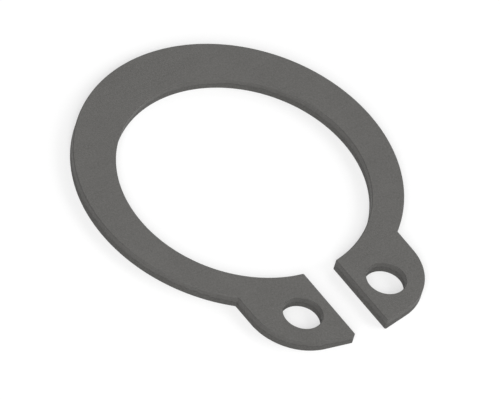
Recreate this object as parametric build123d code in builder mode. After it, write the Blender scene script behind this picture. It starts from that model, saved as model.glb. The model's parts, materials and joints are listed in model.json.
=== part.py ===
from build123d import *
import os
from math import cos, isclose, radians, sqrt, tan

os.makedirs("parts", exist_ok=True)

# External circlip, the open spring ring that snaps into a groove turned in a shaft.
# It lies flat on Z = 0 with the centre of its bore on the Z axis. The two eyes, with
# the slot between them, are at the front, towards -Y. All lengths are in millimetres.

# Bow: a round bore inside a larger circle whose centre lies further back, so that
# the ring is widest opposite the slot and tapers towards the eyes. That taper lets
# it stay round while it is sprung open.
bore_diameter = 9.6
bow_width = 1.77
bow_offset = 0.35
thickness = 0.5

# Eyes: the two lugs at the open front. The height is measured outwards from the bore,
# the width sideways from the slot. The tip edge climbs by the slope, in degrees, on
# its way from the slot, and a large round joins it to the upright flank.
slot_width = 1.5
eye_height = 3.25
eye_width = 2.98
tip_slope = 10.25
eye_round = 2.23

# Plier holes: one through each eye, placed by the metal that is left beside them.
hole_diameter = 1.5
hole_to_slot = 0.45
hole_to_tip = 0.72

# Edges: punching rounds the corners of the outline and rolls the upper edge over,
# and tumbling takes the burr off the lower edge.
corner_radius = 0.06
die_roll = 0.04
burr_break = 0.02

# Where those dimensions put the outline on the right-hand side.
bore_radius = bore_diameter / 2
outer_radius = bore_radius + bow_width - bow_offset
slot_x = slot_width / 2
flank_x = slot_x + eye_width
tip_y = -sqrt((bore_radius + eye_height) ** 2 - slot_x**2)
tip_climb = tan(radians(tip_slope))
flank_y = tip_y + eye_width * tip_climb
root_y = bow_offset - sqrt(outer_radius**2 - flank_x**2)

# The eye's round takes up as much of the tip edge as of the flank, measured from the
# corner where they would meet, and it stays within both.
half_turn = radians(90 - tip_slope) / 2
tip_length = eye_width / cos(radians(tip_slope))
round_room = min(tip_length, root_y - flank_y) - 2 * corner_radius
tip_round = min(eye_round, round_room / tan(half_turn))

# The hole's centre keeps its distance from the slot and from the sloping tip edge.
hole_radius = hole_diameter / 2
slot_to_centre = hole_to_slot + hole_radius
hole_x = slot_x + slot_to_centre
hole_y = tip_y + slot_to_centre * tip_climb + (hole_to_tip + hole_radius) / cos(radians(tip_slope))


def on_slot(vertex):
    """True for the corners that the slot cuts, at the bore and at the tips."""
    return isclose(abs(vertex.X), slot_x, abs_tol=1e-4)


def on_flank(vertex):
    """True for the two ends of a flank."""
    return isclose(abs(vertex.X), flank_x, abs_tol=1e-4)


with BuildPart() as circlip:
    with BuildSketch(Plane.XY) as outline:
        with Locations((0, bow_offset)):
            Circle(outer_radius)

        # One eye, drawn up to the ring's centre line so that it runs into the bow.
        with BuildLine() as eye:
            Polyline(
                (slot_x, 0),
                (slot_x, tip_y),
                (flank_x, flank_y),
                (flank_x, 0),
                close=True,
            )
            tip_corner = eye.vertices().group_by(Axis.X)[-1].sort_by(Axis.Y)[0]
            fillet(tip_corner, radius=tip_round)
        make_face()
        mirror(about=Plane.YZ)

        # The bore, the slot from the bore to the tips, and the plier holes.
        Circle(bore_radius, mode=Mode.SUBTRACT)
        Rectangle(slot_width, -tip_y, align=(Align.CENTER, Align.MAX), mode=Mode.SUBTRACT)
        with Locations((hole_x, hole_y), (-hole_x, hole_y)):
            Circle(hole_radius, mode=Mode.SUBTRACT)

        # The punch's own corners: four at the slot, and the roots where the flanks
        # run into the bow, which are the upper ends of the flanks.
        slot_corners = outline.vertices().filter_by(on_slot)
        roots = outline.vertices().filter_by(on_flank).group_by(Axis.Y)[-1]
        fillet(slot_corners + roots, radius=corner_radius)
    extrude(amount=thickness)

    top_edges = circlip.faces().sort_by(Axis.Z)[-1].edges()
    fillet(top_edges, radius=die_roll)
    bottom_edges = circlip.faces().sort_by(Axis.Z)[0].edges()
    chamfer(bottom_edges, length=burr_break)

circlip.part.label = "circlip"
export_step(circlip.part, "parts/circlip.step")

box = circlip.part.bounding_box().size
print(f"circlip: {circlip.part.volume:.3f} mm3, {box.X:.3f} x {box.Y:.3f} x {box.Z:.3f} mm")
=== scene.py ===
# %% [markdown]
# # An external circlip, from a drawn outline to phosphated steel
#
# A circlip is the open spring ring that snaps into a groove in a shaft and keeps a
# bearing or a wheel from sliding off. Its construction is already settled and packed,
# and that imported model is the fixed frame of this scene: it is loaded first, its box is
# kept to measure against at the end, and everything else takes its place from it.

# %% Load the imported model
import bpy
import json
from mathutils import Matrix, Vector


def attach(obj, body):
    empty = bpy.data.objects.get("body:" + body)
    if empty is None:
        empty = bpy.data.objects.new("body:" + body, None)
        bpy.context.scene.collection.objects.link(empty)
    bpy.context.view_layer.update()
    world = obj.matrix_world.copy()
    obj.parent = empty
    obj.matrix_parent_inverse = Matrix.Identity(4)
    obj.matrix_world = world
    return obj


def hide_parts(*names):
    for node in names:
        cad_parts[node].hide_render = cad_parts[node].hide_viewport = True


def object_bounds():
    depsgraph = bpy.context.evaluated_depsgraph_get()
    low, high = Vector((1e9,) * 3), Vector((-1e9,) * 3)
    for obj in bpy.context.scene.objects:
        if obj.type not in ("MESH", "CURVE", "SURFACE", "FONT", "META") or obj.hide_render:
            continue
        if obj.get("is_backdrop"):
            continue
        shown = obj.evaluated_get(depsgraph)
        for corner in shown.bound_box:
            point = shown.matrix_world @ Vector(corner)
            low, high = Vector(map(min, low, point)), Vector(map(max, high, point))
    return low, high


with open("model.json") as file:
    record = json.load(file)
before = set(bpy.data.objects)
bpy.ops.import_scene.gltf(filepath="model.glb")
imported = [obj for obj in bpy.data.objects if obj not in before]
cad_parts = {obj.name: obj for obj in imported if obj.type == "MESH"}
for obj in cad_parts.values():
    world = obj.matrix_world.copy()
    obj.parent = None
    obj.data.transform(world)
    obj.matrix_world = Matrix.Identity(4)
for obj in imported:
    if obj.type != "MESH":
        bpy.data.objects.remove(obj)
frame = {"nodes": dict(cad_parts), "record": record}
cad_low, cad_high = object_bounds()
print("packed parts:", ", ".join(frame["nodes"]))

# %% [markdown]
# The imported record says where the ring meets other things: the bore that grips the
# shaft's groove, and the two holes for the pliers. Reading those numbers, and not typing
# them again, keeps the drawing below true to the model.

# %% Read the ring's sizes from the record
import json
from math import asin, atan2, cos, pi, radians, sin, sqrt, tan

import bmesh
import bpy
from mathutils import Matrix, Vector

MM = 0.001
mounts = {mount["name"]: mount for mount in frame["record"]["mounts"]}
groove, plier_hole = mounts["shaft_groove"], mounts["plier_hole_right"]
bore_radius = groove["dims"]["r_mm"]
hole_radius = plier_hole["dims"]["r_mm"]
hole_x, hole_y = (round(c / MM, 4) for c in plier_hole["pos_m"][:2])
thickness = round((cad_high.z - cad_low.z) / MM, 4)
print(f"bore {bore_radius} mm, hole {hole_radius} mm at {hole_x}, {hole_y}, strip {thickness} mm")

# %% [markdown]
# ## The point of view
#
# The camera comes before any modelling, so that every step can be judged from the
# photograph's own angle. The photograph looks down on the ring from the front left, and
# its frame is turned a little, because the ring's own axis leans to the right in it.
# A direction like that is easiest to think of as two angles, so one function turns an
# azimuth and an elevation into an arrow. The lamps use it later too.

# %% The direction of view
AZIMUTH, ELEVATION, ROLL = -50.21, 46.40, 18.33


def bearing(azimuth, elevation):
    """The direction from the ring towards a viewer. Azimuth 0 is the front, -Y."""
    a, e = radians(azimuth), radians(elevation)
    return Vector((sin(a) * cos(e), -cos(a) * cos(e), sin(e)))


towards_viewer = bearing(AZIMUTH, ELEVATION)
level_right = Vector((cos(radians(AZIMUTH)), sin(radians(AZIMUTH)), 0))
level_up = towards_viewer.cross(level_right)
roll = radians(ROLL)
image_right = cos(roll) * level_right + sin(roll) * level_up
image_up = cos(roll) * level_up - sin(roll) * level_right
print("towards the viewer:", [round(c, 3) for c in towards_viewer])

# %% [markdown]
# The photograph shows the ring with no perspective: the two long edges of the slot stay
# parallel. So the camera is orthographic, and its scale is the image's width in pixels
# over the pixels that a millimetre takes up. The middle of the bore, on the upper face,
# falls on a known pixel, and the optical axis passes beside it by the distance from
# that pixel to the image's centre. A new camera sees nothing nearer than ten
# centimetres, a long way for a ring of this size, so the clipping starts at a millimetre.

# %% Camera
IMAGE_WIDTH, IMAGE_HEIGHT = 500, 400
PIXELS_PER_MM = 27.31
BORE_PIXEL = (244.2, 178.2)
CAMERA_DISTANCE = 0.15
CLIP_START, CLIP_END = 1 * MM, 10

bore_top = Vector((0, 0, thickness * MM))
aside = (IMAGE_WIDTH / 2 - BORE_PIXEL[0]) / PIXELS_PER_MM * MM
above = (BORE_PIXEL[1] - IMAGE_HEIGHT / 2) / PIXELS_PER_MM * MM
on_axis = bore_top + aside * image_right + above * image_up
turn = Matrix((image_right, image_up, towards_viewer)).transposed().to_4x4()

camera_data = bpy.data.cameras.new("camera")
camera_data.type = "ORTHO"
camera_data.ortho_scale = IMAGE_WIDTH / PIXELS_PER_MM * MM
camera_data.clip_start, camera_data.clip_end = CLIP_START, CLIP_END
camera = bpy.data.objects.new("camera", camera_data)
bpy.context.scene.collection.objects.link(camera)
camera.matrix_world = Matrix.Translation(on_axis + CAMERA_DISTANCE * towards_viewer) @ turn
bpy.context.scene.camera = camera
print(f"the view is {camera_data.ortho_scale / MM:.2f} mm wide")

# %% [markdown]
# ## Drawing the outline
#
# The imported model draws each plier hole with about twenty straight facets, and a close
# look shows them on a ring this small. The ring is therefore drawn again in finer
# steps, from the same dimensions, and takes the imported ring's place in the picture.
#
# The bow lies between the bore and a larger circle that is set back by an offset, so
# that it tapers towards the eyes. An eye is measured outwards from the bore and sideways
# from the slot. Its tip edge climbs by the slope on its way from the slot, and a large
# round joins it to the upright flank, which meets the bow at the root.

# %% The outline's dimensions, in millimetres
BOW_WIDTH = 1.77
BOW_OFFSET = 0.35
SLOT_WIDTH = 1.5
EYE_HEIGHT = 3.25
EYE_WIDTH = 2.98
EYE_ROUND = 2.23
TIP_SLOPE = radians(10.25)

outer_radius = bore_radius + BOW_WIDTH - BOW_OFFSET
slot_x = SLOT_WIDTH / 2
flank_x = slot_x + EYE_WIDTH
tip_y = -sqrt((bore_radius + EYE_HEIGHT) ** 2 - slot_x**2)
root_y = BOW_OFFSET - sqrt(outer_radius**2 - flank_x**2)
print(f"outer radius {outer_radius:.2f}, tip {tip_y:.2f}, flank {flank_x:.2f}, root {root_y:.2f}")

# %% [markdown]
# The shape could be cut from discs and boxes, but a punch cuts an outline, and an outline
# is what it really is. So a single point is drawn along the edge: spun about a centre
# for each arc, and pulled straight for each line. A plane merged to its centre is that
# point, the pencil. Each helper leaves the last point that it made selected, so the next
# stroke carries on from there.
#
# Blender's mesh tools are set up for things measured in metres, and some take two
# points a tenth of a millimetre apart for one, which would swallow the small corners.
# So the drawing is made with one unit to the millimetre, and is shrunk at the end.

# %% Two strokes: a line and an arc
bpy.ops.object.select_all(action="DESELECT")
bpy.ops.mesh.primitive_plane_add(size=1, location=(0, 0, 0), calc_uvs=False)
ring = bpy.context.object
ring.name = "circlip_ring"
bpy.ops.object.mode_set(mode="EDIT")
bpy.ops.mesh.merge(type="CENTER")
bpy.ops.transform.translate(value=(0, bore_radius, 0))


def pencil():
    """Where the selected point is."""
    drawing = bmesh.from_edit_mesh(ring.data)
    return next(vertex.co.copy() for vertex in drawing.verts if vertex.select)


def line_to(x, y):
    """A straight stroke to a point."""
    stroke = Vector((x, y, 0)) - pencil()
    bpy.ops.mesh.extrude_region_move(TRANSFORM_OT_translate={"value": stroke})


def arc(centre, clockwise, steps):
    """A stroke round a centre, clockwise by an angle, or the other way if it is negative."""
    bpy.ops.mesh.spin(steps=steps, angle=clockwise, center=(*centre, 0), axis=(0, 0, 1))


print("the pencil starts at the back of the bore:", [round(c, 3) for c in pencil()])

# %% [markdown]
# Only the right half is drawn. The stroke starts at the back of the bore and runs down
# it to the slot, out along the slot to the tip, round the eye and up its flank to the
# root, and back along the outside. The eye's big round touches the sloping tip edge and
# the upright flank, so its centre lies one radius from each.
#
# The bore is drawn in two sweeps, which meet where a line from its centre to the root
# crosses it, because the bow is filled with regular faces later and the eye isn't. A
# step of an arc is one to two degrees, which keeps the facets within half a thousandth
# of a millimetre of the curve.

# %% Draw the right half
BOW_STEPS, BORE_END_STEPS, ROUND_STEPS = 120, 26, 40

bore_centre, bow_centre = (0, 0), (0, BOW_OFFSET)
root_bearing = pi / 2 - atan2(root_y, flank_x)
slot_bearing = pi - asin(slot_x / bore_radius)
outer_sweep = pi / 2 - atan2(root_y - BOW_OFFSET, flank_x)
round_x = flank_x - EYE_ROUND
round_y = tip_y + (round_x - slot_x) * tan(TIP_SLOPE) + EYE_ROUND / cos(TIP_SLOPE)
touch_x = round_x + EYE_ROUND * sin(TIP_SLOPE)
touch_y = round_y - EYE_ROUND * cos(TIP_SLOPE)

arc(bore_centre, root_bearing, BOW_STEPS)
bow_end = pencil()
arc(bore_centre, slot_bearing - root_bearing, BORE_END_STEPS)
line_to(slot_x, tip_y)
line_to(touch_x, touch_y)
arc((round_x, round_y), TIP_SLOPE - pi / 2, ROUND_STEPS)
line_to(flank_x, root_y)
arc(bow_centre, -outer_sweep, BOW_STEPS)
print("the outline ends at the back at", [round(c, 3) for c in pencil()])

# %% [markdown]
# An operator works on what is selected. By hand that is a click, and in a script it is a
# question about the place of each vertex, edge or face, so one helper asks it and
# selects those that answer yes.
#
# A punch never has a perfectly sharp corner, so the three corners of each half get a
# tiny radius with a vertex bevel. The bevel is told how far along each edge to start,
# and that is the radius times the tangent of half the turn that the outline makes.

# %% Round the three punched corners
CORNER_RADIUS = 0.06
CORNER_STEPS = 5
NEAR = 1e-3


def pick(kind, wanted):
    """Selects only the vertices, edges or faces for which wanted is true, and counts them."""
    bpy.ops.mesh.select_mode(type={"verts": "VERT", "edges": "EDGE", "faces": "FACE"}[kind])
    bpy.ops.mesh.select_all(action="DESELECT")
    drawing = bmesh.from_edit_mesh(ring.data)
    chosen = [part for part in getattr(drawing, kind) if wanted(part)]
    for part in chosen:
        part.select_set(True)
    drawing.select_flush_mode()
    bmesh.update_edit_mesh(ring.data)
    return len(chosen)


def round_corner(x, y, turn):
    """Gives the corner at a point, where the outline makes that turn, the punch's radius."""
    corner = Vector((x, y, 0))
    pick("verts", lambda vertex: (vertex.co - corner).length < NEAR)
    start = CORNER_RADIUS * tan(turn / 2)
    bpy.ops.mesh.bevel(affect="VERTICES", offset=start, segments=CORNER_STEPS)


bore_corner_y = -sqrt(bore_radius**2 - slot_x**2)
round_corner(slot_x, bore_corner_y, slot_bearing - pi / 2)
round_corner(slot_x, tip_y, pi / 2 + TIP_SLOPE)
round_corner(flank_x, root_y, outer_sweep - pi / 2)
print("points in the half outline:", len(bmesh.from_edit_mesh(ring.data).verts))

# %% [markdown]
# ## From an outline to a flat blank
#
# The bow is bridged. Its bore arc and its outer arc have the same number of steps, so
# they join into a neat strip of four-sided faces. Both are found by their distance from
# their centres. The tolerance is a narrow one: it lets in the arc's last edge, which the
# bevel shortened, and keeps out the corner's first edge, which leaves the arc by only a
# thousandth of a millimetre.

# %% Bridge the bow
ON_ARC = 5e-4


def away_from(centre, vertex):
    """The distance of a vertex from a centre in the drawing's plane."""
    return (vertex.co - Vector((*centre, 0))).length


def on_bow(edge):
    """True for the bore's edges beside the bow, and for those of the outer arc."""
    on_outer = all(abs(away_from(bow_centre, v) - outer_radius) < ON_ARC for v in edge.verts)
    on_bore = all(abs(away_from(bore_centre, v) - bore_radius) < ON_ARC for v in edge.verts)
    return on_outer or (on_bore and all(v.co.y > bow_end.y - NEAR for v in edge.verts))


bow_edges = pick("edges", on_bow)
bpy.ops.mesh.bridge_edge_loops()
print(f"{bow_edges} edges bridged by {len(bmesh.from_edit_mesh(ring.data).faces)} faces")

# %% [markdown]
# The eye has a hole in it, which is a circle added at its place in the same drawing.
# Bridging needs two matching edges and a grid needs four sides, but the fill tool takes
# any outline with a hole in it, and covers the space between with triangles. They are
# harmless here, because the surface is dead flat. The outline to fill is every edge
# that has no face yet, closed by the front end of the bow's strip. That end is one long
# edge with a face on one side only, where a step of an arc is a tenth of a millimetre.

# %% Fill the eye round its hole
HOLE_STEPS = 96
LONG_EDGE = 0.5


def round_eye(edge):
    """True for bare edges, and for the long edge at the strip's front end."""
    strip_end = len(edge.link_faces) == 1 and edge.calc_length() > LONG_EDGE
    return not edge.link_faces or (strip_end and edge.verts[0].co.y < 0)


bpy.ops.mesh.primitive_circle_add(
    vertices=HOLE_STEPS, radius=hole_radius, location=(hole_x, hole_y, 0), calc_uvs=False
)
eye_edges = pick("edges", round_eye)
bpy.ops.mesh.fill(use_beauty=True)
bpy.ops.object.mode_set(mode="OBJECT")
print(f"{eye_edges} edges round the eye, {len(ring.data.polygons)} faces in the half")

# %% [markdown]
# The other half is a mirror image. The mirror modifier welds the two along the ring's
# middle line at the back, and applying it leaves one flat blank.

# %% Mirror the half


def apply_modifier(piece, kind, **settings):
    """Adds a modifier, sets it up and applies it."""
    bpy.context.view_layer.objects.active = piece
    bpy.ops.object.modifier_add(type=kind)
    modifier = piece.modifiers[-1]
    for name, value in settings.items():
        setattr(modifier, name, value)
    bpy.ops.object.modifier_apply(modifier=modifier.name)


apply_modifier(ring, "MIRROR", merge_threshold=NEAR)
print("faces in the blank:", len(ring.data.polygons))

# %% [markdown]
# ## The section that punching leaves
#
# A punch drags the upper edge of the strip down as it enters, which leaves a smooth
# roll all round the top, and a small burr below, which tumbling breaks off. Both run
# round the whole outline and round each hole. The blank is first pulled up into a plate
# that leaves room for both.

# %% Give the blank its walls
DIE_ROLL = 0.04
BURR_BREAK = 0.02

bpy.ops.object.mode_set(mode="EDIT")
pick("faces", lambda face: True)
bpy.ops.transform.translate(value=(0, 0, BURR_BREAK))
wall_height = thickness - DIE_ROLL - BURR_BREAK
bpy.ops.mesh.extrude_region_move(TRANSFORM_OT_translate={"value": (0, 0, wall_height)})
print(f"upright walls {wall_height:.2f} mm high")

# %% [markdown]
# A bevel could make the roll, but it slides its new points along whatever edges it finds
# in the flat face, and the eye's triangles run every way. The inset tool measures
# straight in from the outline. So the roll is built from a few insets that follow a
# quarter circle, each lifted a little, and the broken lower edge is one inset more.

# %% Roll the upper edge and break the lower one
ROLL_STEPS = 6


def step_in(inward, lift):
    """Insets the selected faces as one region, and moves them up or down."""
    bpy.ops.mesh.inset(thickness=inward, depth=0, use_boundary=True, use_even_offset=True)
    bpy.ops.transform.translate(value=(0, 0, lift))


for step in range(ROLL_STEPS):
    before, after = (pi / 2 * (step + n) / ROLL_STEPS for n in (0, 1))
    step_in(DIE_ROLL * (cos(before) - cos(after)), DIE_ROLL * (sin(after) - sin(before)))

pick("faces", lambda face: all(abs(v.co.z - BURR_BREAK) < NEAR for v in face.verts))
step_in(BURR_BREAK, -BURR_BREAK)
bpy.ops.mesh.select_all(action="SELECT")
bpy.ops.mesh.normals_make_consistent(inside=False)
heights = sorted({round(v.co.z, 4) for v in bmesh.from_edit_mesh(ring.data).verts})
print("heights of the section's steps:", heights)

# %% [markdown]
# Smooth shading makes the facets of the arcs read as curves. On its own it would also
# blur the flats, because a point on the rim takes the average of the flat face and the
# roll beside it, and the eye's long triangles would show. The weighted normal modifier
# can be told which faces matter: the two flats and the upright walls are marked strong
# and the narrow faces between them weak, and a point listens only to the strongest
# faces that it touches. So the flats stay flat up to their last edge. The marks are
# taken off again afterwards, because the mesh would carry them along for nothing.

# %% Shade the ring
SHARP_ANGLE = radians(30)


def flat_or_upright(face):
    """True for the upper and lower flats and for the walls."""
    return abs(face.normal.z) < NEAR or abs(face.normal.z) > 1 - NEAR


for strength, wanted in (("WEAK", lambda face: True), ("STRONG", flat_or_upright)):
    marked = pick("faces", wanted)
    bpy.ops.mesh.mod_weighted_strength(set=True, face_strength=strength)
bpy.ops.object.mode_set(mode="OBJECT")
bpy.ops.object.shade_smooth_by_angle(angle=SHARP_ANGLE)
apply_modifier(ring, "WEIGHTED_NORMAL", keep_sharp=True, use_face_influence=True)
ring.data.attributes.remove(ring.data.attributes["__mod_weightednormals_faceweight"])
print("faces marked strong:", marked)

# %% [markdown]
# The ring is shrunk to metres and its scale is applied, so that the object itself sits
# unscaled at the origin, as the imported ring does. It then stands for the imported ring,
# moves with the part's only body, and takes the finish that the record calls spring
# steel.

# %% Bring the ring to real size and into the frame
ring.scale = (MM, MM, MM)
bpy.ops.object.transform_apply(location=True, rotation=True, scale=True)
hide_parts("circlip")
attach(ring, "root")
print(f"{len(ring.data.polygons)} faces, size in mm", [round(d / MM, 3) for d in ring.dimensions])

# %% [markdown]
# ## Materials
#
# Colours are written as the hex values that a paint program shows, and Blender works
# in linear light, so one function turns one into the other. Another adds a node and
# wires it up in one call, which keeps each material short enough to read, and a third
# starts a material with nothing in it.

# %% Helpers for colours and nodes


def linear(hex_colour):
    """An sRGB colour such as "#6b6a68" as the linear RGBA that a socket takes."""
    channels = [int(hex_colour[i : i + 2], 16) / 255 for i in (1, 3, 5)]
    return [c / 12.92 if c <= 0.04045 else ((c + 0.055) / 1.055) ** 2.4 for c in channels] + [1]


def add(tree, kind, inputs=(), **settings):
    """A new node with its own settings. An input is given a value, or a socket to link."""
    made = tree.nodes.new(kind)
    for name, value in settings.items():
        setattr(made, name, value)
    for socket, value in dict(inputs).items():
        if isinstance(value, bpy.types.NodeSocket):
            tree.links.new(value, made.inputs[socket])
        else:
            made.inputs[socket].default_value = value
    return made


def new_material(name):
    """An empty node material and its tree."""
    material = bpy.data.materials.new(name)
    material.use_nodes = True
    material.node_tree.nodes.clear()
    return material, material.node_tree


print("a screen's middle grey in linear light:", round(linear("#808080")[0], 3))

# %% [markdown]
# ## Phosphated spring steel
#
# The real ring is punched from hardened strip, and then given a phosphate coat: a hot
# bath grows a layer of tiny grey crystals on the steel, which holds oil and keeps off
# rust. What reaches the eye is a dark, dull grey that sparkles very faintly, is a
# little cloudy where the bath took unevenly, and still shows a trace of the lines that
# rolling left in the strip.
#
# Each of the three is a noise with its own scale, which is one over a real size. Its
# detail adds finer copies of the pattern, and its roughness is how much they count. The
# lines are a noise stretched along the strip. The clouds and the lines have their real
# size. The crystals are about a hundredth of a millimetre across, far too fine for a
# picture this size, so they are drawn seven times as coarse.

# %% Crystals, clouds and rolling lines
CRYSTAL, CLOUD = 0.07, 1.4
LINE_WIDTH, LINE_LENGTH = 0.07, 3.0

coat, tree = new_material("phosphated_spring_steel")
surface = add(tree, "ShaderNodeTexCoord").outputs
place = surface["Object"]
crystals = add(
    tree,
    "ShaderNodeTexNoise",
    {"Vector": place, "Scale": 1 / (CRYSTAL * MM), "Detail": 4.0, "Roughness": 0.75},
).outputs["Fac"]
clouds = add(
    tree,
    "ShaderNodeTexNoise",
    {"Vector": place, "Scale": 1 / (CLOUD * MM), "Detail": 3.0, "Roughness": 0.6},
).outputs["Fac"]
per_line = 1 / (LINE_WIDTH * MM)
strip = add(
    tree,
    "ShaderNodeMapping",
    {"Vector": place, "Scale": (1 / (LINE_LENGTH * MM), per_line, per_line)},
).outputs["Vector"]
lines = add(
    tree, "ShaderNodeTexNoise", {"Vector": strip, "Scale": 1.0, "Detail": 1.0}
).outputs["Fac"]
print("pattern sizes in mm:", CRYSTAL, CLOUD, LINE_WIDTH)

# %% [markdown]
# On the die roll and the broken lower edge the rings of a batch rub on each other, which
# presses the crystals flat and burnishes the coat. The same edges are also darkened as
# painted shade, which cancels the highlight that the lamps put on the roll. A painted mask
# could mark those edges, but the surface gives them away by itself, because only there is
# it halfway between flat and upright. The square of the normal's height, times what is
# left to one, is nothing on the flats and the walls and a quarter halfway round the roll,
# so four times that is a mask.

# %% Burnished edges
tilt = add(tree, "ShaderNodeSeparateXYZ", {"Vector": surface["Normal"]}).outputs["Z"]
flatness = add(tree, "ShaderNodeMath", {0: tilt, 1: tilt}, operation="MULTIPLY").outputs[0]
upright = add(tree, "ShaderNodeMath", {0: 1.0, 1: flatness}, operation="SUBTRACT").outputs[0]
between = add(tree, "ShaderNodeMath", {0: flatness, 1: upright}, operation="MULTIPLY").outputs[0]
burnish_and_shade = add(tree, "ShaderNodeMath", {0: between, 1: 4.0}, operation="MULTIPLY").outputs[0]
print("burnished edges at most", DIE_ROLL, "mm wide")

# %% [markdown]
# The upright walls are smooth where the punch cut, and coarse lower down, where the
# strip tore away. The border between the two wavers round the outline, so its height
# is a noise too, and a point is torn if it lies below the border and on a wall. The
# tears themselves are another noise, drawn out along the punch's stroke.

# %% Torn walls
TORN_HEIGHT, TORN_SWING, TORN_WAVE = 0.26, 0.16, 0.5
TORN_FADE = 0.02
TEAR, TEAR_STRETCH = 0.045, 4
NEARLY_UPRIGHT = 0.9

wave = add(
    tree, "ShaderNodeTexNoise", {"Vector": place, "Scale": 1 / (TORN_WAVE * MM), "Detail": 2.0}
).outputs["Fac"]
border = add(
    tree,
    "ShaderNodeMath",
    {0: wave, 1: TORN_SWING * MM, 2: (TORN_HEIGHT - TORN_SWING / 2) * MM},
    operation="MULTIPLY_ADD",
).outputs[0]
height = add(tree, "ShaderNodeSeparateXYZ", {"Vector": place}).outputs["Z"]
depth = add(tree, "ShaderNodeMath", {0: border, 1: height}, operation="SUBTRACT").outputs[0]
below = add(
    tree,
    "ShaderNodeMapRange",
    {"Value": depth, "From Min": -TORN_FADE * MM, "From Max": TORN_FADE * MM},
    interpolation_type="SMOOTHSTEP",
).outputs[0]
on_wall = add(
    tree, "ShaderNodeMapRange", {"Value": upright, "From Min": NEARLY_UPRIGHT, "From Max": 1.0}
).outputs[0]
torn = add(tree, "ShaderNodeMath", {0: below, 1: on_wall}, operation="MULTIPLY").outputs[0]
drawn_out = add(
    tree, "ShaderNodeMapping", {"Vector": place, "Scale": (1.0, 1.0, 1 / TEAR_STRETCH)}
).outputs["Vector"]
tears = add(
    tree, "ShaderNodeTexNoise", {"Vector": drawn_out, "Scale": 1 / (TEAR * MM), "Detail": 2.0}
).outputs["Fac"]
scars_and_shade = add(tree, "ShaderNodeMath", {0: torn, 1: tears}, operation="MULTIPLY").outputs[0]
print(f"walls torn up to {TORN_HEIGHT - TORN_SWING / 2:.2f} to {TORN_HEIGHT + TORN_SWING / 2:.2f} mm")

# %% [markdown]
# The crystals, the clouds and the lines add up to one tone, mostly crystals, and the
# tone chooses between two greys with a trace of brown. The sum is shifted so that it
# swings about a half. Over that the burnished edges are a little darker: partly because
# flat crystals scatter less light, and partly as painted shade that cancels the roll's
# highlight. The torn metal is darker too: partly because its pits hold more oil, and
# partly as painted shade on the lower walls. Every difference is small: from where the
# photograph was taken the ring reads as one even grey.

# %% Colour
CRYSTAL_SHARE, CLOUD_SHARE, LINE_SHARE = 1.6, 0.4, 0.2
DARK_COAT, LIGHT_COAT = "#494846", "#676664"
# The two darker greys below are partly painted shade: the first darkens the rolled edges against
# their highlight, and the second darkens the torn band low on the walls.
PRESSED_AND_SHADED_COAT, OILY_AND_SHADED_TEAR = "#3b3a38", "#3c3c3a"
PRESSED_SHADE_SHARE, OILY_SHADE_SHARE = 0.35, 0.35

tone = 0.5 - (CRYSTAL_SHARE + CLOUD_SHARE + LINE_SHARE) / 2
for pattern, share in ((crystals, CRYSTAL_SHARE), (clouds, CLOUD_SHARE), (lines, LINE_SHARE)):
    tone = add(
        tree, "ShaderNodeMath", {0: pattern, 1: share, 2: tone}, operation="MULTIPLY_ADD"
    ).outputs[0]
# Painted shade: the rolled edges are darkened, partly for the flattened crystals and partly to cancel
# the lamps' highlight on the roll.
pressed_and_shade = add(
    tree, "ShaderNodeMath", {0: burnish_and_shade, 1: PRESSED_SHADE_SHARE}, operation="MULTIPLY"
).outputs[0]
# Painted shade: the torn band low on the walls is darkened, partly for the oil in its pits and partly
# as shade on the lower walls.
oily_and_shade = add(tree, "ShaderNodeMath", {0: scars_and_shade, 1: OILY_SHADE_SHARE}, operation="MULTIPLY").outputs[0]
colour = linear(DARK_COAT)
for amount, shade in ((tone, LIGHT_COAT), (pressed_and_shade, PRESSED_AND_SHADED_COAT), (oily_and_shade, OILY_AND_SHADED_TEAR)):
    colour = add(
        tree, "ShaderNodeMix", {"Factor": amount, "A": colour, "B": linear(shade)}, data_type="RGBA"
    ).outputs["Result"]
print("coat from", DARK_COAT, "to", LIGHT_COAT)

# %% [markdown]
# Crystals scatter light, so the coat is satin to matt, and its lighter patches are the
# rougher ones. Rubbing polishes it, and tearing makes it rougher still. It is a coat on
# steel and not bare steel, so only a share of it reflects as metal does, and a larger
# share at the burnished edges. The relief is drawn by a bump, because it is far finer
# than the mesh. The crystals and the lines stand up from the steel and the tears are
# sunk into it. Their heights are in millimetres, which the bump's distance turns to
# metres.

# %% Gloss and relief
SATIN, MATT = 0.5, 0.66
POLISH, TEARING = -0.04, 0.12
COAT_METAL, PRESSED_METAL = 0.2, 0.15
CRYSTAL_RISE, LINE_RISE, TEAR_DEPTH = 0.016, 0.001, 0.04

roughness = add(
    tree, "ShaderNodeMapRange", {"Value": tone, "To Min": SATIN, "To Max": MATT}
).outputs[0]
for amount, change in ((burnish_and_shade, POLISH), (torn, TEARING)):
    roughness = add(
        tree, "ShaderNodeMath", {0: amount, 1: change, 2: roughness}, operation="MULTIPLY_ADD"
    ).outputs[0]
metal = add(
    tree,
    "ShaderNodeMath",
    {0: burnish_and_shade, 1: PRESSED_METAL, 2: COAT_METAL},
    operation="MULTIPLY_ADD",
).outputs[0]
relief = 0.0
for pattern, rise in ((crystals, CRYSTAL_RISE), (lines, LINE_RISE), (scars_and_shade, -TEAR_DEPTH)):
    relief = add(
        tree, "ShaderNodeMath", {0: pattern, 1: rise, 2: relief}, operation="MULTIPLY_ADD"
    ).outputs[0]
bump = add(tree, "ShaderNodeBump", {"Height": relief, "Strength": 1.0, "Distance": MM}).outputs[0]
print(f"roughness {SATIN} to {MATT}, deepest tear {TEAR_DEPTH} mm")

# %% [markdown]
# All of it meets in one shader. The index of refraction keeps its default. The pores
# between the crystals swallow about half of the sheen that a smooth coat would have,
# which is the specular level of a quarter, where a half is a smooth surface.

# %% Put the coat together
SHEEN = 0.25

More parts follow.
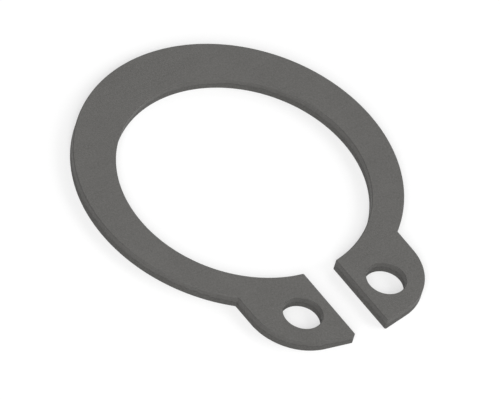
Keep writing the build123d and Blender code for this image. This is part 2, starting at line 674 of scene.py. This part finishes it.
shader = add(
    tree,
    "ShaderNodeBsdfPrincipled",
    {
        "Base Color": colour,
        "Metallic": metal,
        "Roughness": roughness,
        "Specular IOR Level": SHEEN,
        "Normal": bump,
    },
)
add(tree, "ShaderNodeOutputMaterial", {"Surface": shader.outputs["BSDF"]})
ring.data.materials.append(coat)
print("nodes in the coat:", len(tree.nodes))

# %% [markdown]
# ## The studio
#
# The ring lies on a plain pale floor under soft light, and the photograph's background
# is pure white. More light would make the floor white too, but it would wash out the
# ring. So the floor and the world keep a plain level of light for the ring, and are
# white only for the rays that look at them: those from the camera, and those that
# a glossy surface or glass sends on.

# %% Rays that see the background


def seen_rays(tree):
    """One for a ray from the camera, a reflection or glass, and nothing for diffuse light."""
    rays = add(tree, "ShaderNodeLightPath").outputs
    seen = rays["Is Camera Ray"]
    for kind in ("Is Glossy Ray", "Is Transmission Ray"):
        seen = add(tree, "ShaderNodeMath", {0: seen, 1: rays[kind]}, operation="MAXIMUM").outputs[0]
    return seen


WHITE = linear("#ffffff")
print("white is a strength of", WHITE[0])

# %% [markdown]
# The floor is pale matt paper. A plane is all it needs, because nothing of it is seen
# but the ring's soft shadow. It lies a hundredth of a millimetre below the ring, because
# two faces in one plane show through each other. What the paper lacks to white is added
# as a glow, so that open paper is white and the shadow on it stays.

# %% Floor
FLOOR_SIZE, FLOOR_GAP = 0.8, 0.01 * MM
PAPER = linear("#b4b4b4")

bpy.ops.object.select_all(action="DESELECT")
bpy.ops.mesh.primitive_plane_add(size=FLOOR_SIZE, location=(0, 0, -FLOOR_GAP))
floor = bpy.context.object
floor.name = "floor"
paper, tree = new_material("pale_matt_paper")
lit = add(tree, "ShaderNodeBsdfDiffuse", {"Color": PAPER}).outputs[0]
lacking = add(
    tree, "ShaderNodeMath", {0: seen_rays(tree), 1: 1 - PAPER[0]}, operation="MULTIPLY"
).outputs[0]
glow = add(tree, "ShaderNodeEmission", {"Color": WHITE, "Strength": lacking}).outputs[0]
both = add(tree, "ShaderNodeAddShader", {0: lit, 1: glow}).outputs[0]
add(tree, "ShaderNodeOutputMaterial", {"Surface": both})
floor.data.materials.append(paper)
floor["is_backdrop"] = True
print(f"the paper reflects {PAPER[0]:.2f} of the light, and glows with {1 - PAPER[0]:.2f}")

# %% [markdown]
# The world is the room around the lamps. It fills the shadows with a little even light
# from everywhere, and is white where a ray looks past the floor.

# %% World
SKY = 0.3

world = bpy.data.worlds.new("studio")
bpy.context.scene.world = world
world.use_nodes = True
tree = world.node_tree
tree.nodes.clear()
strength = add(
    tree, "ShaderNodeMapRange", {"Value": seen_rays(tree), "To Min": SKY, "To Max": 1.0}
).outputs[0]
sky = add(tree, "ShaderNodeBackground", {"Color": WHITE, "Strength": strength}).outputs[0]
add(tree, "ShaderNodeOutputWorld", {"Surface": sky})
print("light level from the world:", SKY)

# %% [markdown]
# Three soft boxes do the rest. The strongest stands on the viewer's side and reaches the
# walls inside the plier holes, the second lights the eyes from the right, and the third
# stands opposite the viewer and lights the ring's far side. How much light a lamp gives
# the floor depends on its radiance, on how large it looks from there and on how high it
# stands. With the world's, the levels come to a little over one, and at one a matt
# colour renders as it is written.

# %% Lamps
LAMP_SIZE, LAMP_DISTANCE = 0.2, 0.3


def softbox(name, azimuth, elevation, radiance):
    """A square lamp that faces the ring. Returns the light level that it gives the floor."""
    lamp_data = bpy.data.lights.new(name, "AREA")
    lamp_data.shape = "SQUARE"
    lamp_data.size = LAMP_SIZE
    lamp_data.energy = radiance * pi * LAMP_SIZE**2
    lamp = bpy.data.objects.new(name, lamp_data)
    bpy.context.scene.collection.objects.link(lamp)
    towards_lamp = bearing(azimuth, elevation)
    lamp.location = towards_lamp * LAMP_DISTANCE
    lamp.rotation_mode = "QUATERNION"
    lamp.rotation_quaternion = towards_lamp.to_track_quat("Z", "Y")
    half = LAMP_SIZE / 2
    looks = 4 * asin(half**2 / (half**2 + LAMP_DISTANCE**2))
    level = radiance * looks * sin(radians(elevation)) / pi
    print(f"{name}: {lamp_data.energy:.3f} W, light level {level:.2f}")
    return level


levels = [
    softbox("front_left", -50, 35, 7.0),
    softbox("front_right", 50, 30, 3.6),
    softbox("far_side", 115, 30, 1.5),
]
print(f"light level with the world: {SKY + sum(levels):.2f}")

# %% [markdown]
# ## The last measure
#
# The standard view transform shows colours as they are. The finished ring's box is
# measured against the imported model's, and the two should agree to a few hundredths of
# a millimetre.

# %% Finish
bpy.context.scene.view_settings.view_transform = "Standard"
low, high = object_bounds()
apart = max(abs(a - b) for a, b in zip([*low, *high], [*cad_low, *cad_high])) / MM
print(f"the two boxes differ by at most {apart:.3f} mm")
